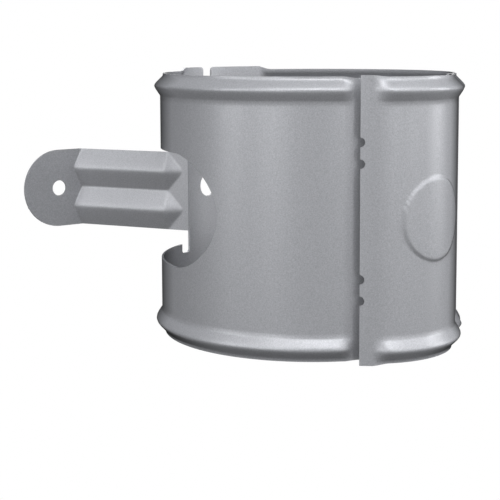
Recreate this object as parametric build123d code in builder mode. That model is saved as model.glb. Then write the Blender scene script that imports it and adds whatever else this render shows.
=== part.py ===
"""Downpipe clip: a beaded sheet-metal sleeve with two wall legs lanced from it and a front cover.

Frame: origin on the pipe's axis at half height, +Z up, -Y the front, +Y towards the wall.
All sizes are in millimetres and all angles in degrees, counter-clockwise from +X.
"""
from build123d import *
from math import acos, cos, degrees, radians, sin, tan
import os

# Driving dimensions
bore_radius = 50.0        # inside of the turned-in rims, which hold the pipe
sheet = 0.8               # sheet thickness of the sleeve and the cover
wall_height = 74.8        # straight wall between the two beads
bead_height = 7.85        # from the crease to the turned-in rim
bead_out = 2.4            # where a bead's two flanks would cross, out of the wall
bead_crest = 3.7          # height of that crossing above the crease
crest_share = 0.2         # share of each flank that the crest's narrow flat takes off
rim_in = 1.0              # how far the rim turns in from the wall
rim_land = 0.8            # upright edge of the rim
flat_bow = 0.02           # what is left of the bow where the bead is left out

# Back flat, the stretch of the rim with no bead
flat_from = 72.0          # direction where the flat starts
flat_to = 112.5           # direction where the flat ends
flat_blend = 6.0          # angle over which a bead runs out
flat_rise = 1.15          # extra height where the bead is left out
notch_angle = 98.5        # direction of the rim notches and the back hole
notch_width = 4.2
notch_depth = 7.2
notch_round = 1.3         # rounding of the notch's mouth
back_hole_radius = 4.2
back_hole_rise = 1.6      # back hole above half height

# Wall legs, lanced from the sleeve, and their feet
fold_angle = 20.6         # from the wall direction to a leg's fold
leg_height = 29.5
leg_length = 46.8         # from the fold to the foot's bend
leg_splay = 28.0          # leg's direction away from the wall direction
rib_depth = 3.4           # how far a rib's ridge stands out of the leg
rib_least = 0.001         # depth where the ribs start
rib_root_start = 2.5      # flat stretch beside the fold
rib_root_run = 6.8        # over which the ribs grow
foot_hole_offset = 10.3   # from the bend to the hole
foot_hole_radius = 2.95
punch_gap = 4.5           # window's edge beyond the tab that the leg is made of
relief_width = 4.2        # relief notch beside the fold
relief_depth = 3.5
relief_round = 1.2

# Front opening of the sleeve, which the cover closes
free_end = 14.0           # from the front to the sleeve's free end, towards -X
free_flat = 9.0           # stretch of the free end with no bead
free_blend = 5.5          # angle over which its bead runs out
free_trim = 0.5           # how much lower the free end is than the beaded rim
welded_end = 26.8         # from the front to the end that carries the cover

# Front cover
cover_radius = 29.5       # outside radius of the cover's own curve
cover_offset = 30.9       # from the pipe's axis to the cover's centre
cover_seam = 46.8         # free edge, from the front, about the cover's centre
cover_stand = 0.35        # the curve's end above the sleeve, which clears its bead
flange_angle = 9.0        # width of the flange that lies on the sleeve
flange_lap = 1.5          # how far the flange reaches under the cover's curve
seam_flat = 7.0           # flat stretch of the cover's rim beside the seam
seam_blend = 12.0         # angle over which the cover's bead runs out
seam_rise = 0.5           # extra height of that flat stretch
seam_notch_radius = 1.5
seam_notch_far = 25.0     # heights of the notch pairs from half height
seam_notch_near = 18.2
boss_radius = 13.75       # plain pressed boss
boss_height = 0.6
boss_turn = 5.8           # boss from the front, about the cover's centre

# Worked-out sizes
inner_radius = bore_radius + rim_in
wall_radius = inner_radius + sheet
mid_radius = inner_radius + sheet / 2
half_wall = wall_height / 2
half_height = half_wall + bead_height
front = -90.0
wall_way = 90.0


def along(angle, distance):
    """A point at this distance from the axis, in this direction."""
    a = radians(angle)
    return Vector(distance * cos(a), distance * sin(a), 0)


def radial_plane(angle, origin=(0, 0, 0)):
    """A plane through the axis, with its x outwards and its y up."""
    return Plane(origin=origin, x_dir=along(angle, 1), z_dir=along(angle - 90, 1))


def sheet_section(plane, radius, bow, turn, rise):
    """Section through the sheet: a straight wall between two beads, each with a blunt crest."""
    with BuildSketch(plane) as section:
        with BuildLine():
            for r in (radius, radius - sheet):
                Line((r, -half_wall), (r, half_wall))
            for side in (1, -1):
                rim = side * (half_height + rise)
                for r in (radius, radius - sheet):
                    crease = Vector(r, side * half_wall)
                    apex = Vector(r + bow, side * (half_wall + bead_crest))
                    lip = Vector(r - turn, rim - side * rim_land)
                    low = apex + (crease - apex) * crest_share
                    high = apex + (lip - apex) * crest_share
                    Polyline(crease, low, high, lip, (r - turn, rim))
                Line((radius - turn, rim), (radius - sheet - turn, rim))
        make_face()
    return section.sketch


def beaded(plane, radius):
    return sheet_section(plane, radius, bead_out, rim_in, 0)


def turned(radius, start, stop, centre=(0, 0, 0), rise=None):
    """Turn a section about a vertical axis: beaded, or flat with the extra height given."""
    plane = radial_plane(start, centre)
    section = beaded(plane, radius) if rise is None else sheet_section(plane, radius, flat_bow, 0, rise)
    revolve(section, axis=Axis(centre, (0, 0, 1)), revolution_arc=stop - start)


def run_out(radius, bead_at, flat_at, rise, centre=(0, 0, 0), steps=2):
    """Blend a beaded section into a flat one over the angle between them."""
    sections = []
    for i in range(steps + 1):
        share = i / steps
        plane = radial_plane(bead_at + (flat_at - bead_at) * share, centre)
        bow = bead_out + (flat_bow - bead_out) * share
        sections.append(sheet_section(plane, radius, bow, rim_in * (1 - share), rise * share))
    loft(sections, ruled=True)


def leg_section(plane, depth):
    """Section through a leg: two ridges, each as high as the depth given."""
    quarter = leg_height / 4
    half = sheet / 2
    rows = [(0, 2), (depth, 1), (0, 0), (depth, -1), (0, -2)]
    outer = [(d + half, n * quarter) for d, n in rows]
    inner = [(d - half, n * quarter) for d, n in reversed(rows)]
    with BuildSketch(plane) as section:
        with BuildLine():
            Polyline(*outer, *inner, close=True)
        make_face()
    return section.sketch


# Where the leg on the -X side folds and bends; its foot lies flat on the wall
fold_way = wall_way + fold_angle
leg_way = wall_way + leg_splay
foot_way = wall_way + 90
foot_turn = foot_way - leg_way
foot_out = along(foot_way + 90, 1)
fold_point = along(fold_way, mid_radius)
bend_point = fold_point + along(leg_way, leg_length)
foot_centre = bend_point + along(foot_way, foot_hole_offset)

# The window is the leg's flat tab and the punch's gap around it
tab_length = leg_length + foot_hole_offset + leg_height / 2
window_span = degrees((tab_length + punch_gap) / mid_radius)
window_way = fold_way + window_span / 2
window_half = wall_radius * sin(radians(window_span / 2))
window_height = leg_height + 2 * punch_gap


def leg_plane(distance):
    """The plane across the leg: x out of its face, facing back to the fold."""
    origin = fold_point + along(leg_way, distance)
    return Plane(origin=origin, x_dir=along(leg_way + 90, 1), z_dir=-along(leg_way, 1))


with BuildPart() as window_cutter:
    with BuildSketch(Plane(origin=(0, 0, 0), x_dir=along(window_way + 90, 1), z_dir=along(window_way, 1))):
        round_end = window_half - window_height / 2
        with Locations((round_end, 0)):
            Circle(window_height / 2)
        with Locations(((round_end - window_half) / 2, 0)):
            Rectangle(round_end + window_half, window_height)
        with Locations((-window_half + relief_width / 2, 0)):
            RectangleRounded(relief_width, window_height + 2 * relief_depth, relief_round)
    extrude(amount=2 * wall_radius)

with BuildPart() as leg:
    ribs_full = rib_root_start + rib_root_run
    ribs_stop = leg_length + (rib_depth + sheet) / tan(radians(foot_turn))
    extrude(leg_section(leg_plane(rib_root_start), rib_least), amount=rib_root_start)
    loft([leg_section(leg_plane(rib_root_start), rib_least), leg_section(leg_plane(ribs_full), rib_depth)], ruled=True)
    extrude(leg_section(leg_plane(ribs_stop), rib_depth), amount=ribs_stop - ribs_full)
    split(bisect_by=Plane(origin=bend_point, z_dir=foot_out), keep=Keep.TOP)
    for corner in (fold_point, bend_point):
        with Locations(corner):
            Cylinder(sheet / 2, leg_height)
    with BuildSketch(Plane(origin=foot_centre - foot_out * (sheet / 2), x_dir=along(foot_way, 1), z_dir=foot_out)):
        Circle(leg_height / 2)
        with Locations((-foot_hole_offset / 2, 0)):
            Rectangle(foot_hole_offset, leg_height)
        Circle(foot_hole_radius, mode=Mode.SUBTRACT)
    extrude(amount=sheet)

free_way = front - free_end + 360
free_bead_end = free_way - free_flat - free_blend

with BuildPart() as sleeve:
    turned(wall_radius, flat_to + flat_blend, free_bead_end)
    run_out(wall_radius, free_bead_end, free_bead_end + free_blend, -free_trim)
    turned(wall_radius, free_bead_end + free_blend, free_way, rise=-free_trim)
    turned(wall_radius, front + welded_end, flat_from - flat_blend)
    turned(wall_radius, flat_from, flat_to, rise=flat_rise)
    run_out(wall_radius, flat_from - flat_blend, flat_from, flat_rise)
    run_out(wall_radius, flat_to + flat_blend, flat_to, flat_rise)
    add(window_cutter.part, mode=Mode.SUBTRACT)
    add(mirror(window_cutter.part, about=Plane.YZ), mode=Mode.SUBTRACT)
    top = half_height + flat_rise
    with BuildSketch(Plane(origin=(0, 0, 0), x_dir=along(notch_angle + 90, 1), z_dir=along(notch_angle, 1))):
        for side in (1, -1):
            with Locations((0, side * (top - notch_depth / 2))):
                Rectangle(notch_width, notch_depth)
            with Locations((0, side * (top - notch_depth))):
                Circle(notch_width / 2)
            for edge in (1, -1):
                mouth = edge * (notch_width + notch_round) / 2
                with Locations((mouth, side * (top - notch_round / 2))):
                    Rectangle(notch_round, notch_round)
                with Locations((mouth + edge * notch_round / 2, side * (top - notch_round))):
                    Circle(notch_round, mode=Mode.SUBTRACT)
        with Locations((0, back_hole_rise)):
            Circle(back_hole_radius)
    extrude(amount=2 * wall_radius, mode=Mode.SUBTRACT)
    add(leg.part)
    add(mirror(leg.part, about=Plane.YZ))

# The cover's curve ends where its inside comes close to the outside of the sleeve
cover_centre = along(front, cover_offset)
inner_curve = cover_radius - sheet
meeting_radius = wall_radius + cover_stand
meeting = (meeting_radius**2 - cover_offset**2 - inner_curve**2) / (2 * cover_offset * inner_curve)
meet_share = (meeting_radius**2 + cover_offset**2 - inner_curve**2) / (2 * meeting_radius * cover_offset)
flange_way = front + degrees(acos(meet_share))
seam_way = front - cover_seam
end_way = front + degrees(acos(meeting))
boss_way = front + boss_turn
lip_bead_start = seam_way + seam_flat + seam_blend

with BuildPart() as boss:
    with BuildSketch(Plane(origin=cover_centre, x_dir=along(boss_way + 90, 1), z_dir=along(boss_way, 1))):
        Circle(boss_radius)
    extrude(amount=2 * cover_radius)
    with BuildSketch(Plane.XY.offset(-boss_radius), mode=Mode.PRIVATE) as boss_ring:
        with Locations(cover_centre):
            Circle(cover_radius + boss_height)
            Circle(cover_radius - sheet / 2, mode=Mode.SUBTRACT)
    extrude(boss_ring.sketch, amount=2 * boss_radius, mode=Mode.INTERSECT)

with BuildPart() as cover:
    turned(cover_radius, lip_bead_start, end_way, cover_centre)
    turned(cover_radius, seam_way, seam_way + seam_flat, cover_centre, rise=seam_rise)
    run_out(cover_radius, lip_bead_start, seam_way + seam_flat, seam_rise, cover_centre)
    turned(wall_radius + sheet, flange_way - flange_lap, flange_way + flange_angle)
    add(boss.part)
    seam_point = cover_centre + along(seam_way, cover_radius - sheet / 2)
    notch_heights = (seam_notch_far, seam_notch_near, -seam_notch_near, -seam_notch_far)
    with Locations(*[seam_point + Vector(0, 0, h) for h in notch_heights]):
        Cylinder(seam_notch_radius, 4 * sheet, rotation=(90, 0, seam_way + 90), mode=Mode.SUBTRACT)

sleeve.part.label = "sleeve"
cover.part.label = "front_cover"
os.makedirs("parts", exist_ok=True)
export_step(sleeve.part, "parts/sleeve.step")
export_step(cover.part, "parts/front_cover.step")
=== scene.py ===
import math

import bpy
import numpy as np
from mathutils import Matrix, Vector
from mathutils.geometry import delaunay_2d_cdt


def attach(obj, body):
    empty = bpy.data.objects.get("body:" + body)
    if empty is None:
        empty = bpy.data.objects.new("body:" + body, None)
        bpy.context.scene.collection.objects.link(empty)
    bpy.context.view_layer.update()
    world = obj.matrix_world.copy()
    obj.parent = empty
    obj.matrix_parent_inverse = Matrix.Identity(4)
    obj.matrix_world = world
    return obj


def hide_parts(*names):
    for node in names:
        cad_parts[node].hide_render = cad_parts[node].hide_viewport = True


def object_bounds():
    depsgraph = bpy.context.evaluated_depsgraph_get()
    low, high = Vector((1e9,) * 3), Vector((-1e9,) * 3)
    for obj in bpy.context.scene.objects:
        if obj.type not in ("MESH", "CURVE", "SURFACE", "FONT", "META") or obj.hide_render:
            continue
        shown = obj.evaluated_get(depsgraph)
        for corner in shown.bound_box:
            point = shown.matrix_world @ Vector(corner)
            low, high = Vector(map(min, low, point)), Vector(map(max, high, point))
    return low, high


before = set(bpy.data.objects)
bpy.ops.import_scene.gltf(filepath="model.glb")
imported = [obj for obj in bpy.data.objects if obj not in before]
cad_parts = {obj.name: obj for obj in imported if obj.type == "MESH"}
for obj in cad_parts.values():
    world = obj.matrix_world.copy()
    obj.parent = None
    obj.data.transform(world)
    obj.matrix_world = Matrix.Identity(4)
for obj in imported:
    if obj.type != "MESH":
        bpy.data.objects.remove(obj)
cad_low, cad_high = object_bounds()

MM = 0.001

# Sheet and sleeve, in millimetres, as in the frame
SHEET = 0.8
WALL_RADIUS = 51.8        # of the outer face
MID_RADIUS = WALL_RADIUS - SHEET / 2
HALF_WALL = 37.4          # from half height to the crease below a bead
BEAD_HEIGHT = 7.85        # from the crease to the rim
BEAD_CREST = 3.7          # from the crease to the crest
BEAD_OUT = 2.6            # where the bead's flanks would cross, before rounding
BEAD_ROUND = 0.62         # rounding of the crest
CREASE_FADE = 0.45        # height over which the crease is rounded
RIM_IN = 1.0              # how far the rim stands in from the wall
RIM_LAND = 0.8            # height of the upright land at the rim
HALF_RIM = HALF_WALL + BEAD_HEIGHT

# Directions, in degrees from +X
FREE_END = -104.0         # the sleeve's end below the cover's free lip
FREE_RUN_OUT = (-118.5, -113.0)         # where its beads fade before that end
WELDED_END = -63.2        # the sleeve's end below the cover's flange
BACK_FLAT = (66.0, 72.0, 112.5, 118.5)  # where the beads fade, and where they come back, at the wall side
NOTCH_WAY = 98.5

# Rims without a bead, rim notches and back hole
FREE_TRIM = 0.5           # how much lower the free end's rim stands
BACK_RISE = 1.15          # how much higher the flat back rim stands
NOTCH_WIDTH = 4.2
NOTCH_DEPTH = 7.2
NOTCH_ROUND = 1.3
BACK_HOLE_RADIUS = 4.2
BACK_HOLE_RISE = 1.6

# Legs and feet
FOLD_WAY = 110.6
LEG_HEIGHT = 29.5
LEG_LENGTH = 46.8
LEG_WAY = 118.0
FOOT_WAY = 180.0
FOOT_LENGTH = 10.3        # from the bend to the hole
FOOT_HOLE_RADIUS = 2.95
RIB_DEPTH = 3.4
RIB_ROUND = 0.3
RIB_ROOT = (1.9, 8.9)     # from the fold to where a rib starts, and to its full depth
RIB_STRETCH = 12.0        # of the leg, over which the ribs' ends reach on to the foot
FOOT_RUN = 7.0            # of the foot, over which their reach is taken up
BEND_ROUND = 0.5

# Windows: a leg's flat tab and the punch's gap around it
PUNCH_GAP = 4.5
WINDOW_HEIGHT = LEG_HEIGHT + 2 * PUNCH_GAP
WINDOW_SPAN = math.degrees((LEG_LENGTH + FOOT_LENGTH + LEG_HEIGHT / 2 + PUNCH_GAP) / MID_RADIUS)
WINDOW_WAY = FOLD_WAY + WINDOW_SPAN / 2
WINDOW_HALF = WALL_RADIUS * math.sin(math.radians(WINDOW_SPAN / 2))
RELIEF_WIDTH = 4.2
RELIEF_DEPTH = 3.5
RELIEF_ROUND = 1.2

# Front cover: an arc about its own centre, then a flange on the sleeve; turns in degrees
COVER_RADIUS = 29.5
COVER_OFFSET = 30.9       # from the pipe's axis to the cover's centre
COVER_LINE = -90.0        # the direction of that centre
COVER_SEAM = 46.8         # turn from that line to the free lip
COVER_STAND = 0.35        # between the sleeve and the cover's inner face, where the cover ends
COVER_TRIM = 1.0          # turn left out at the cover's end, for the bend into the flange
FLANGE_TRIM = 1.5         # the same at the flange's start
FLANGE_ANGLE = 9.0
FLANGE_GAP = 0.02
FLANGE_SMOOTH = 1.6       # length over which the bend is smoothed
SEAM_FLAT = 7.0           # turn without a bead beside the lip
SEAM_BLEND = 12.0         # turn over which the beads then grow
SEAM_RISE = 0.5           # how much higher the lip's rim stands
SEAM_NOTCH_RADIUS = 1.5
SEAM_NOTCH_HEIGHTS = (25.0, 18.2, -18.2, -25.0)
BOSS_TURN = 5.8           # from the cover's line to the boss
BOSS_RADIUS = 13.75
BOSS_HEIGHT = 0.6
BOSS_EDGE = 0.9

# Finish of the sheet's edges, as a width and a least angle in degrees
EDGE_WIDTH = 0.14
EDGE_SEGMENTS = 2
EDGE_ANGLE = 50.0

# Mesh spacing
WALL_STEP = 1.6
BEAD_STEP = 0.45
COVER_STEP = WALL_STEP / 2
BOSS_STEP = 0.6
OUTLINE_STEP = 0.2        # of a bent path before it is smoothed
PATH_STEP = 0.1           # of a smoothed path
LEG_COLUMNS = 76
LEG_HALF_ROWS = 24
SHEET_MARGIN = BEAD_STEP * 0.55         # how near the grid's points come to an outline
LEG_MARGIN = 0.4          # the same for a leg, as a share of its step
MERGE_DISTANCE = 1e-5
NEAR_BLOCK = 64           # points of an outline that are measured at a time
CORNER_POINTS = 7
NOTCH_POINTS = 13
HOLE_POINTS = 48
FOOT_HOLE_POINTS = 60
WINDOW_END_POINTS = 49
FOOT_END_POINTS = 65
COVER_POINTS = 200
FLANGE_POINTS = 60

# Zinc's looks
GRAIN_SCALE = 2600.0
CLOUD_SCALE = 55.0
GRAIN_RANGE = (0.3, 0.7)
ZINC_DARK = (0.352, 0.358, 0.378, 1)
ZINC_PALE = (0.508, 0.515, 0.54, 1)
ZINC_METALLIC = 0.35
ZINC_GLOSS = 0.5
ZINC_ROUGHNESS = (0.38, 0.43)
GRAIN_STRENGTH = 0.12
GRAIN_HEIGHT = 0.0002
PAINTED_OUTLINE_SHADE_RANGE = (0.62, 0.92)    # range of the facing value over which painted shade darkens the sheet towards its outline
# how much of the colour and gloss the painted shade leaves at the outline
PAINTED_OUTLINE_SHADE = 0.12

# Floor and world
FLOOR_RADIUS = 3000.0
FLOOR_SIDES = 60
FLOOR_PALE = 0.12
WORLD_COLOUR = (0.93, 0.95, 1, 1)
WORLD_STRENGTH = 0.24

# Lamps: name, direction to the right of the camera and height, in degrees, size in metres and watts
LAMP_DISTANCE = 0.9
STRIP = (0.14, 0.9)
PANEL = (0.5, 0.4)
LAMPS = (
    ("far_left", -60, 12, STRIP, 2.27),
    ("left", -28, 12, STRIP, 2.03),
    ("middle", 28, 12, STRIP, 1.35),
    ("right", 55, 12, STRIP, 1.39),
    ("far_right", 90, 12, STRIP, 3.97),
    ("upper_left", -20, 50, PANEL, 1.8),
    ("upper_middle", 20, 50, PANEL, 2.61),
    ("upper_right", 60, 50, PANEL, 0.89),
    ("behind", 180, 30, PANEL, 3.5),
)

# Camera, measured from the photograph, in degrees, metres, pixels and radians
VIEW_WAY = -127.2         # from the pipe's axis towards the camera
VIEW_DISTANCE = 0.44449
VIEW_ASIDE = -0.020466
VIEW_UP = 0.057181
FOCAL_PIXELS = 1266.2
FRAME_PIXELS = 500.0
SENSOR_WIDTH = 36.0       # millimetres
NEAREST = 0.01
SHIFT_UP = -0.15          # of the frame; below 0, the object stands higher in the picture
TILT = 0.10765
ROLL = -0.00321


def smooth_step(low, high, value):
    """0 below low, 1 above high, and 3t^2 - 2t^3 between them."""
    t = np.clip((value - low) / (high - low), 0.0, 1.0)
    return t * t * (3.0 - 2.0 * t)


def smooth_min(a, b, rounding):
    """The lower of two values, rounded where they cross: (a + b - sqrt((a - b)^2 + 4 k^2)) / 2."""
    return 0.5 * (a + b - np.sqrt((a - b) ** 2 + 4.0 * rounding**2))


def unit(angle):
    """Unit vector in plan at this angle, in degrees."""
    a = np.radians(angle)
    return np.stack([np.cos(a), np.sin(a)], axis=-1)


def arc(centre, radius, start, stop, count):
    """Points on a circle: centre + radius (cos a, sin a), with a evenly spaced from start to stop."""
    a = np.radians(np.linspace(start, stop, count))
    return np.stack([centre[0] + radius * np.cos(a), centre[1] + radius * np.sin(a)], axis=1)


def ring(centre, radius, count):
    """The points of a full circle, the first at 0 degrees and none twice."""
    return arc(centre, radius, 0, 360 - 360 / count, count)


def dense(points, step, closed=True):
    """The same outline with points added on its straight runs, at most one step apart."""
    points = np.asarray(points, float)
    following = np.roll(points, -1, axis=0)
    if not closed:
        points, following = points[:-1], following[:-1]
    runs = []
    for a, b in zip(points, following):
        count = max(1, int(np.ceil(np.linalg.norm(b - a) / step)))
        runs.append(a + (b - a) * (np.arange(count) / count)[:, None])
    return np.concatenate(runs)


def inside(outline, points):
    """Even-odd test: an upward ray from each point crosses the outline an odd number of times."""
    a, b = outline, np.roll(outline, -1, axis=0)
    x, y = points[:, :1], points[:, 1:]
    spans = (a[:, 0] > x) != (b[:, 0] > x)
    run = np.where(b[:, 0] == a[:, 0], np.inf, b[:, 0] - a[:, 0])
    height = a[:, 1] + (x - a[:, 0]) * (b[:, 1] - a[:, 1]) / run
    return (np.sum(spans & (y < height), axis=1) % 2).astype(bool)


def near(outline, points, margin):
    """True where a point lies within the margin of the outline's own points."""
    gap = np.full(len(points), np.inf)
    for block in np.array_split(outline, max(1, len(outline) // NEAR_BLOCK)):
        d = np.hypot(points[:, :1] - block[:, 0], points[:, 1:] - block[:, 1])
        gap = np.minimum(gap, d.min(axis=1))
    return gap < margin


def flat_pattern(outer, cuts, columns, rows, margin):
    """Triangles of a flat sheet: a grid of points inside the outer outline and outside the cuts."""
    grid = np.stack(np.meshgrid(columns, rows, indexing="ij"), axis=-1).reshape(-1, 2)
    keep = inside(outer, grid) & ~near(outer, grid, margin)
    for cut in cuts:
        keep &= ~inside(cut, grid) & ~near(cut, grid, margin)
    loops = [outer, *cuts]
    starts = np.cumsum([0] + [len(loop) for loop in loops])
    edges = []
    for loop, start in zip(loops, starts):
        index = start + np.arange(len(loop))
        edges.append(np.stack([index, np.roll(index, -1)], axis=1))
    points = np.concatenate([*loops, grid[keep]])
    done = delaunay_2d_cdt([Vector(p) for p in points], np.concatenate(edges).tolist(), [], 0, MERGE_DISTANCE)
    flat = np.array([tuple(v) for v in done[0]])
    faces = np.array(done[2])
    middle = flat[faces].mean(axis=1)
    good = inside(outer, middle)
    for cut in cuts:
        good &= ~inside(cut, middle)
    return flat, faces[good]


def sheet_piece(name, faces, placed, material):
    """A sheet whose outer face is at the placed points, and which grows in from there by its thickness."""
    mesh = bpy.data.meshes.new(name)
    mesh.from_pydata((placed * MM).tolist(), [], faces.tolist())
    mesh.polygons.foreach_set("use_smooth", np.ones(len(faces), bool))
    mesh.update()
    piece = bpy.data.objects.new(name, mesh)
    bpy.context.scene.collection.objects.link(piece)
    wall = piece.modifiers.new("wall", "SOLIDIFY")
    wall.thickness = SHEET * MM
    wall.offset = -1.0
    wall.use_even_offset = False
    edge = piece.modifiers.new("edge", "BEVEL")
    edge.width = EDGE_WIDTH * MM
    edge.segments = EDGE_SEGMENTS
    edge.limit_method = "ANGLE"
    edge.angle_limit = math.radians(EDGE_ANGLE)
    edge.harden_normals = True
    mesh.materials.append(material)
    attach(piece, "root")
    return piece


def rim_profile(height, share, extra):
    """Radial offset and height of the sheet. Past the crease, the offset is the rounded lower of two
    flanks, one rising to the crest and one falling to the rim, and it ends in an upright land. share 1
    is a full bead and 0 none, and extra is how much higher the rim stands where there is no bead."""
    past = np.maximum(np.abs(height) - HALF_WALL, 0.0)
    lower = past * BEAD_OUT / BEAD_CREST
    fall = (BEAD_OUT + RIM_IN) / (BEAD_HEIGHT - RIM_LAND - BEAD_CREST)
    upper = BEAD_OUT - (past - BEAD_CREST) * fall
    crossing = np.maximum(smooth_min(lower, upper, BEAD_ROUND), -RIM_IN)
    offset = crossing * smooth_step(0.0, CREASE_FADE, past) * share
    rise = past / BEAD_HEIGHT * extra * (1.0 - share)
    return offset, height + np.sign(height) * rise


def rows_of_sheet():
    """Row heights, close together in the beads and wide apart on the wall."""
    wall = np.linspace(-HALF_WALL, HALF_WALL, int(2 * HALF_WALL / WALL_STEP) + 1)
    bead = HALF_WALL + np.arange(BEAD_STEP, BEAD_HEIGHT, BEAD_STEP)
    return np.concatenate([-bead[::-1], wall, bead])


def window_outline():
    """A window, as (arc length, height): a slot with one round end and two relief notches at its
    fold, where the arc length is R asin(q / R) for a width q across the window's middle."""
    half = WINDOW_HEIGHT / 2
    low = -half - RELIEF_DEPTH
    fold, relief = -WINDOW_HALF, -WINDOW_HALF + RELIEF_WIDTH
    r = RELIEF_ROUND
    runs = [
        arc((WINDOW_HALF - half, 0), half, -90, 90, WINDOW_END_POINTS),
        np.array([[relief, half]]),
        arc((relief - r, -low - r), r, 0, 90, CORNER_POINTS),
        arc((fold + r, -low - r), r, 90, 180, CORNER_POINTS),
        arc((fold + r, low + r), r, 180, 270, CORNER_POINTS),
        arc((relief - r, low + r), r, 270, 360, CORNER_POINTS),
        np.array([[relief, -half]]),
    ]
    shape = dense(np.concatenate(runs), WALL_STEP)
    across = np.clip(shape[:, 0] / WALL_RADIUS, -1, 1)
    turn = np.radians(WINDOW_WAY) + np.arcsin(across)
    return np.stack([turn * WALL_RADIUS, shape[:, 1]], axis=1)


def notch_outline(x, side):
    """Outline of a rim notch with a rounded mouth and a round bottom, as (arc length, height)."""
    half, r = NOTCH_WIDTH / 2, NOTCH_ROUND
    right = arc((half + r, HALF_RIM - r), r, 90, 180, CORNER_POINTS)
    bottom = arc((0, HALF_RIM - NOTCH_DEPTH), half, 0, -180, NOTCH_POINTS)
    left = arc((-half - r, HALF_RIM - r), r, 0, 90, CORNER_POINTS)
    points = np.concatenate([right, bottom, left])
    return np.stack([x + points[:, 0], side * points[:, 1]], axis=1)


def sleeve_share(angle):
    """How much bead there is in a direction, 1 on the beaded stretches and 0 on the flats, and how
    much higher the rim stands on the flats. The free end is the only stretch below FREE_END."""
    turn = (angle + 180.0) % 360.0 - 180.0
    back = smooth_step(BACK_FLAT[0], BACK_FLAT[1], turn) * (1 - smooth_step(BACK_FLAT[2], BACK_FLAT[3], turn))
    ahead = smooth_step(FREE_RUN_OUT[0], FREE_RUN_OUT[1], turn) * (turn < FREE_END + 1)
    return 1.0 - np.maximum(back, ahead), BACK_RISE * back - FREE_TRIM * ahead


def build_sleeve(material):
    """The sleeve: the flat pattern rolled to (r cos a, r sin a, z), with a the arc length over R."""
    start, stop = WELDED_END, FREE_END + 360.0
    to_arc = math.radians(1) * WALL_RADIUS
    x0, x1 = start * to_arc, stop * to_arc
    notch_x = NOTCH_WAY * to_arc
    top_notch = notch_outline(notch_x, 1)
    low_notch = notch_outline(notch_x, -1)[::-1]
    low_edge, top_edge = -HALF_RIM, HALF_RIM
    end = [[x1, low_edge], [x1, top_edge]]
    outer = dense(np.concatenate([[[x0, low_edge]], low_notch, end, top_notch, [[x0, top_edge]]]), WALL_STEP)
    left = window_outline()
    right = left.copy()
    right[:, 0] = math.pi * WALL_RADIUS - left[:, 0]
    hole = ring((notch_x, BACK_HOLE_RISE), BACK_HOLE_RADIUS, HOLE_POINTS)
    columns = np.arange(x0 + WALL_STEP / 2, x1, WALL_STEP)
    flat, faces = flat_pattern(outer, [left, right, hole], columns, rows_of_sheet(), SHEET_MARGIN)
    angle = flat[:, 0] / to_arc
    offset, z = rim_profile(flat[:, 1], *sleeve_share(angle))
    plan = unit(angle) * (WALL_RADIUS + offset)[:, None]
    return sheet_piece("sleeve_sheet", faces, np.column_stack([plan, z]), material)


def plan_path(points, smooth):
    """A path in plan, evenly spaced and smoothed by a moving average, with its lengths and normals."""
    steps = np.r_[0, np.cumsum(np.linalg.norm(np.diff(points, axis=0), axis=1))]
    even = np.arange(0, steps[-1], PATH_STEP)
    x, y = np.interp(even, steps, points[:, 0]), np.interp(even, steps, points[:, 1])
    width = int(smooth / PATH_STEP) // 2 * 2 + 1
    reach = width // 2
    kernel = np.ones(width) / width
    soft = []
    for c in (x, y):
        ahead = 2 * c[-1] - c[-2:-reach - 2:-1]
        behind = 2 * c[0] - c[reach:0:-1]
        soft.append(np.convolve(np.r_[behind, c, ahead], kernel, "valid"))
    path = np.stack(soft, axis=1)
    tangent = np.gradient(path, axis=0)
    tangent /= np.linalg.norm(tangent, axis=1)[:, None]
    normal = np.stack([tangent[:, 1], -tangent[:, 0]], axis=1)
    return even, path, normal


def on_path(path, length, out):
    """Points at these lengths along the path, moved out along its normal."""
    even, points, normal = path
    x = np.interp(length, even, points[:, 0]) + out * np.interp(length, even, normal[:, 0])
    y = np.interp(length, even, points[:, 1]) + out * np.interp(length, even, normal[:, 1])
    return x, y


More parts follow.
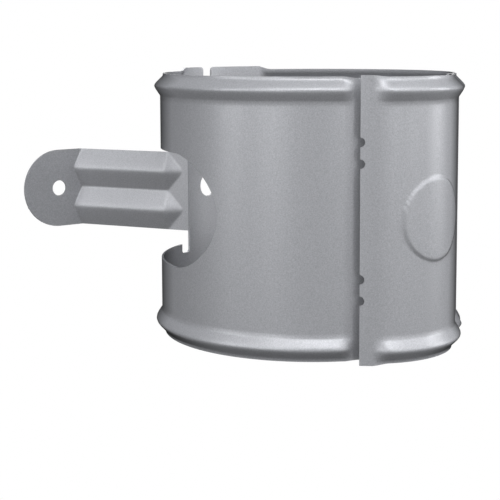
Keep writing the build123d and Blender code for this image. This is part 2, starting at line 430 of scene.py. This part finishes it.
def build_cover(material):
    """The front cover: its plan is an arc about its own centre and then the flange's arc about the pipe.
    The first arc ends where its inner face comes to COVER_STAND off the sleeve. The law of cosines gives
    that place as a turn about the cover's centre, and as one about the pipe for the flange's start."""
    inner = COVER_RADIUS - SHEET
    meet = WALL_RADIUS + COVER_STAND
    cosine = (meet**2 - COVER_OFFSET**2 - inner**2) / (2 * COVER_OFFSET * inner)
    end = COVER_LINE + math.degrees(math.acos(cosine))
    cosine = (meet**2 + COVER_OFFSET**2 - inner**2) / (2 * meet * COVER_OFFSET)
    flange = COVER_LINE + math.degrees(math.acos(cosine))
    centre = unit(COVER_LINE) * COVER_OFFSET
    curve = arc(centre, COVER_RADIUS, COVER_LINE - COVER_SEAM, end - COVER_TRIM, COVER_POINTS)
    seat_radius = WALL_RADIUS + SHEET + FLANGE_GAP
    seat = arc((0, 0), seat_radius, flange + FLANGE_TRIM, flange + FLANGE_ANGLE, FLANGE_POINTS)
    path = plan_path(np.concatenate([curve, seat]), FLANGE_SMOOTH)
    length = path[0][-1]
    outline = [[0, -HALF_RIM], [length, -HALF_RIM], [length, HALF_RIM], [0, HALF_RIM]]
    for height in SEAM_NOTCH_HEIGHTS:
        outline.extend(arc((0, height), SEAM_NOTCH_RADIUS, 90, -90, NOTCH_POINTS))
    outer = dense(np.array(outline), COVER_STEP)
    to_arc = math.radians(1) * COVER_RADIUS
    columns = np.arange(COVER_STEP, length, COVER_STEP)
    rows = np.unique(np.r_[rows_of_sheet(), np.arange(-BOSS_RADIUS - 1, BOSS_RADIUS + 1, BOSS_STEP)])
    flat, faces = flat_pattern(outer, [], columns, rows, SHEET_MARGIN)
    share = smooth_step(SEAM_FLAT * to_arc, (SEAM_FLAT + SEAM_BLEND) * to_arc, flat[:, 0])
    offset, z = rim_profile(flat[:, 1], share, SEAM_RISE)
    boss_at = (COVER_SEAM + BOSS_TURN) * to_arc
    reach = np.hypot(flat[:, 0] - boss_at, flat[:, 1])
    offset = offset + BOSS_HEIGHT * (1 - smooth_step(BOSS_RADIUS - BOSS_EDGE, BOSS_RADIUS, reach))
    x, y = on_path(path, flat[:, 0], offset)
    return sheet_piece("cover_sheet", faces, np.column_stack([x, y, z]), material)


def rib_wave(height):
    """Two rounded ridges over the leg's height: a triangle wave that is 0 at the edges and the middle."""
    quarter = LEG_HEIGHT / 4
    from_ridge = np.abs(np.abs(height) - quarter) / quarter
    rounded = np.sqrt(from_ridge**2 + RIB_ROUND**2 / quarter) - RIB_ROUND**2 / quarter
    return np.clip(1.0 - rounded, 0.0, 1.0)


def build_leg(name, side, material):
    """A leg and its foot: a flat pattern with a round end and a hole, carried along the bent path in
    plan. A rib of depth d moves the leg out by d, and at the foot also on by d / tan(turn), so that its
    ridge runs into the foot's plane; the foot takes up the d / sin(turn) that is left along itself."""
    fold = unit(FOLD_WAY) * MID_RADIUS
    leg_way, foot_way = unit(LEG_WAY), unit(FOOT_WAY)
    turn = math.radians(FOOT_WAY - LEG_WAY)
    bend = fold + leg_way * LEG_LENGTH
    half = LEG_HEIGHT / 2
    centre = LEG_LENGTH + FOOT_LENGTH
    tip = bend + foot_way * (FOOT_LENGTH + half + 1)
    outline = dense(np.array([fold, bend, tip]), OUTLINE_STEP, closed=False)
    even, path, normal = plan_path(outline, BEND_ROUND * 2)
    outer = np.concatenate([[[0, half], [0, -half]], arc((centre, 0), half, -90, 90, FOOT_END_POINTS)])
    hole = ring((centre, 0), FOOT_HOLE_RADIUS, FOOT_HOLE_POINTS)
    step = half / LEG_HALF_ROWS
    leg_columns = np.linspace(0, LEG_LENGTH, LEG_COLUMNS + 1)[1:]
    columns = np.r_[leg_columns, np.arange(LEG_LENGTH + step, centre + half, step)]
    rows = np.linspace(-half, half, 2 * LEG_HALF_ROWS + 1)[1:-1]
    flat, faces = flat_pattern(dense(outer, step), [hole], columns, rows, step * LEG_MARGIN)
    u, v = flat[:, 0], flat[:, 1]
    grow = np.clip((u - RIB_ROOT[0]) / (RIB_ROOT[1] - RIB_ROOT[0]), 0, 1)
    depth = RIB_DEPTH * np.maximum(0, grow + rib_wave(v) - 1)
    near_bend = np.clip((u - LEG_LENGTH + RIB_STRETCH) / RIB_STRETCH, 0, 1)
    past_bend = np.clip(1 - (u - LEG_LENGTH) / FOOT_RUN, 0, 1)
    on_leg = unit(LEG_WAY + 90) + leg_way * (near_bend / math.tan(turn))[:, None]
    on_foot = foot_way * (past_bend / math.sin(turn))[:, None]
    x, y = on_path((even, path, -normal), u, SHEET / 2)
    plan = np.column_stack([x, y]) + depth[:, None] * np.where((u <= LEG_LENGTH)[:, None], on_leg, on_foot)
    placed = np.column_stack([side * plan[:, 0], plan[:, 1], v])
    if side > 0:
        faces = faces[:, ::-1]
    return sheet_piece(name, faces, placed, material)


def node(tree, kind, place, **values):
    """A shader node with its values set."""
    made = tree.nodes.new(kind)
    made.location = place
    for key, value in values.items():
        setattr(made, key, value)
    return made


def grain_group():
    """The sheet's grain: noise at two scales, a fine one as the mask and a broad one as the cloud."""
    group = bpy.data.node_groups.new("fine_grain", "ShaderNodeTree")
    group.interface.new_socket("Scale", in_out="INPUT", socket_type="NodeSocketFloat")
    group.interface.new_socket("Mask", in_out="OUTPUT", socket_type="NodeSocketFloat")
    group.interface.new_socket("Cloud", in_out="OUTPUT", socket_type="NodeSocketFloat")
    enter = node(group, "NodeGroupInput", (-600, 0))
    leave = node(group, "NodeGroupOutput", (400, 0))
    place = node(group, "ShaderNodeTexCoord", (-600, 200))
    fine = node(group, "ShaderNodeTexNoise", (-300, 200))
    fine.inputs["Detail"].default_value = 3.0
    fine.inputs["Roughness"].default_value = 0.65
    cloud = node(group, "ShaderNodeTexNoise", (-300, -100))
    cloud.inputs["Scale"].default_value = CLOUD_SCALE
    cloud.inputs["Detail"].default_value = 2.0
    group.links.new(place.outputs["Object"], fine.inputs["Vector"])
    group.links.new(place.outputs["Object"], cloud.inputs["Vector"])
    group.links.new(enter.outputs["Scale"], fine.inputs["Scale"])
    group.links.new(fine.outputs["Fac"], leave.inputs["Mask"])
    group.links.new(cloud.outputs["Fac"], leave.inputs["Cloud"])
    return group


def zinc_material(grain):
    """Matt grained zinc grey, with the grain in its colour and in a slight bump, broad clouds in its
    roughness, and painted shade that darkens its colour and gloss at grazing angles."""
    material = bpy.data.materials.new("zinc_sheet")
    material.use_nodes = True
    tree = material.node_tree
    shader = tree.nodes["Principled BSDF"]
    shader.inputs["Metallic"].default_value = ZINC_METALLIC
    shader.inputs["IOR"].default_value = 1.45
    texture = node(tree, "ShaderNodeGroup", (-700, 0), node_tree=grain)
    texture.inputs["Scale"].default_value = GRAIN_SCALE
    colour = node(tree, "ShaderNodeValToRGB", (-450, 100))
    for stop, at, tone in zip(colour.color_ramp.elements, GRAIN_RANGE, (ZINC_DARK, ZINC_PALE)):
        stop.position = at
        stop.color = tone
    rough = node(tree, "ShaderNodeMapRange", (-450, -150))
    rough.inputs["To Min"].default_value = ZINC_ROUGHNESS[0]
    rough.inputs["To Max"].default_value = ZINC_ROUGHNESS[1]
    bump = node(tree, "ShaderNodeBump", (-450, -400))
    bump.inputs["Strength"].default_value = GRAIN_STRENGTH
    bump.inputs["Distance"].default_value = GRAIN_HEIGHT
    # painted shade: the colour and the gloss are darkened towards the outline, standing in for shade from the
    # lighting
    facing = node(tree, "ShaderNodeLayerWeight", (-900, 300))
    facing.inputs["Blend"].default_value = 0.5
    painted_shade_ramp = node(tree, "ShaderNodeMapRange", (-700, 300))
    ends = zip(("From Min", "From Max", "To Min", "To Max"), (*PAINTED_OUTLINE_SHADE_RANGE, 1.0, PAINTED_OUTLINE_SHADE))
    for key, value in ends:
        painted_shade_ramp.inputs[key].default_value = value
    painted_shade_colour = node(tree, "ShaderNodeMix", (-200, 200), data_type="RGBA", blend_type="MULTIPLY")
    painted_shade_colour.inputs["Factor"].default_value = 1.0
    gloss_with_painted_shade = node(tree, "ShaderNodeMath", (-200, -50), operation="MULTIPLY")
    gloss_with_painted_shade.inputs[1].default_value = ZINC_GLOSS
    tree.links.new(facing.outputs["Facing"], painted_shade_ramp.inputs["Value"])
    tree.links.new(painted_shade_ramp.outputs["Result"], painted_shade_colour.inputs["B"])
    tree.links.new(painted_shade_ramp.outputs["Result"], gloss_with_painted_shade.inputs[0])
    tree.links.new(gloss_with_painted_shade.outputs[0], shader.inputs["Specular IOR Level"])
    tree.links.new(texture.outputs["Mask"], colour.inputs["Fac"])
    tree.links.new(texture.outputs["Cloud"], rough.inputs["Value"])
    tree.links.new(texture.outputs["Mask"], bump.inputs["Height"])
    tree.links.new(colour.outputs["Color"], painted_shade_colour.inputs["A"])
    tree.links.new(painted_shade_colour.outputs["Result"], shader.inputs["Base Color"])
    tree.links.new(rough.outputs["Result"], shader.inputs["Roughness"])
    tree.links.new(bump.outputs["Normal"], shader.inputs["Normal"])
    return material


def pale_material(name, lit):
    """A matt surface that the camera sees as plain white, and that sends on this share of the light."""
    material = bpy.data.materials.new(name)
    material.use_nodes = True
    tree = material.node_tree
    shader = tree.nodes["Principled BSDF"]
    shader.inputs["Base Color"].default_value = (lit, lit, lit, 1)
    shader.inputs["Roughness"].default_value = 0.9
    output = tree.nodes["Material Output"]
    glow = node(tree, "ShaderNodeEmission", (0, -300))
    glow.inputs["Color"].default_value = (1, 1, 1, 1)
    glow.inputs["Strength"].default_value = 1.0
    rays = node(tree, "ShaderNodeLightPath", (-200, 300))
    mix = node(tree, "ShaderNodeMixShader", (300, 0))
    tree.links.new(rays.outputs["Is Camera Ray"], mix.inputs["Fac"])
    tree.links.new(shader.outputs[0], mix.inputs[1])
    tree.links.new(glow.outputs[0], mix.inputs[2])
    tree.links.new(mix.outputs[0], output.inputs["Surface"])
    return material


def build_floor():
    """A flat pale disc under the object."""
    mesh = bpy.data.meshes.new("floor")
    rim = ring((0, 0), FLOOR_RADIUS, FLOOR_SIDES)
    level = np.full(len(rim), cad_low[2] / MM)
    mesh.from_pydata((np.column_stack([rim, level]) * MM).tolist(), [], [list(range(len(rim)))])
    floor = bpy.data.objects.new("floor", mesh)
    bpy.context.scene.collection.objects.link(floor)
    mesh.materials.append(pale_material("floor_white", FLOOR_PALE))


def area_light(name, place, size, power):
    """A soft rectangular lamp at a place, in metres, turned to the middle of the object's frame."""
    lamp = bpy.data.lights.new(name, "AREA")
    lamp.shape = "RECTANGLE"
    lamp.size, lamp.size_y = size
    lamp.energy = power
    holder = bpy.data.objects.new(name, lamp)
    bpy.context.scene.collection.objects.link(holder)
    holder.location = place
    holder.rotation_euler = (-place).to_track_quat("-Z", "Y").to_euler()


def from_camera(right, away, up):
    """A place given from the pipe's axis as the camera sees it, in metres."""
    line = math.radians(VIEW_WAY)
    ahead = Vector((-math.cos(line), -math.sin(line), 0))
    aside = Vector((ahead.y, -ahead.x, 0))
    return aside * right + ahead * away + Vector((0, 0, up))


def build_camera():
    """The camera at its measured place, tilted down, with a small shift that the photograph asks for."""
    data = bpy.data.cameras.new("camera")
    data.sensor_width = SENSOR_WIDTH
    data.lens = SENSOR_WIDTH * FOCAL_PIXELS / FRAME_PIXELS
    data.shift_y = SHIFT_UP
    data.clip_start = NEAREST
    camera = bpy.data.objects.new("camera", data)
    bpy.context.scene.collection.objects.link(camera)
    heading = math.radians(VIEW_WAY + 180.0 - 90.0)
    turn = Matrix.Rotation(heading, 4, "Z") @ Matrix.Rotation(math.pi / 2 - TILT, 4, "X")
    place = Matrix.Translation(from_camera(VIEW_ASIDE, -VIEW_DISTANCE, VIEW_UP))
    camera.matrix_world = place @ turn @ Matrix.Rotation(ROLL, 4, "Z")
    bpy.context.scene.camera = camera


def build_light():
    """A faint pale world, upright strips that make the sleeve's soft bands, and panels above them."""
    world = bpy.data.worlds.new("studio")
    world.use_nodes = True
    tree = world.node_tree
    background = tree.nodes["Background"]
    background.inputs["Strength"].default_value = WORLD_STRENGTH
    background.inputs["Color"].default_value = WORLD_COLOUR
    white = node(tree, "ShaderNodeBackground", (0, -200))
    white.inputs["Color"].default_value = (1, 1, 1, 1)
    white.inputs["Strength"].default_value = 1.0
    rays = node(tree, "ShaderNodeLightPath", (-200, 200))
    mix = node(tree, "ShaderNodeMixShader", (200, 0))
    tree.links.new(rays.outputs["Is Camera Ray"], mix.inputs["Fac"])
    tree.links.new(background.outputs[0], mix.inputs[1])
    tree.links.new(white.outputs[0], mix.inputs[2])
    tree.links.new(mix.outputs[0], tree.nodes["World Output"].inputs["Surface"])
    bpy.context.scene.world = world
    for name, way, rise, size, power in LAMPS:
        way, rise = math.radians(way), math.radians(rise)
        level = LAMP_DISTANCE * math.cos(rise)
        right, away, up = level * math.sin(way), -level * math.cos(way), LAMP_DISTANCE * math.sin(rise)
        area_light(name, from_camera(right, away, up), size, power)


bpy.context.scene.view_settings.view_transform = "Standard"
zinc = zinc_material(grain_group())
sleeve_sheet = build_sleeve(zinc)
cover_sheet = build_cover(zinc)
build_leg("left_leg", 1, zinc)
build_leg("right_leg", -1, zinc)
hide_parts("sleeve")
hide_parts("front_cover")
build_floor()
build_light()
build_camera()
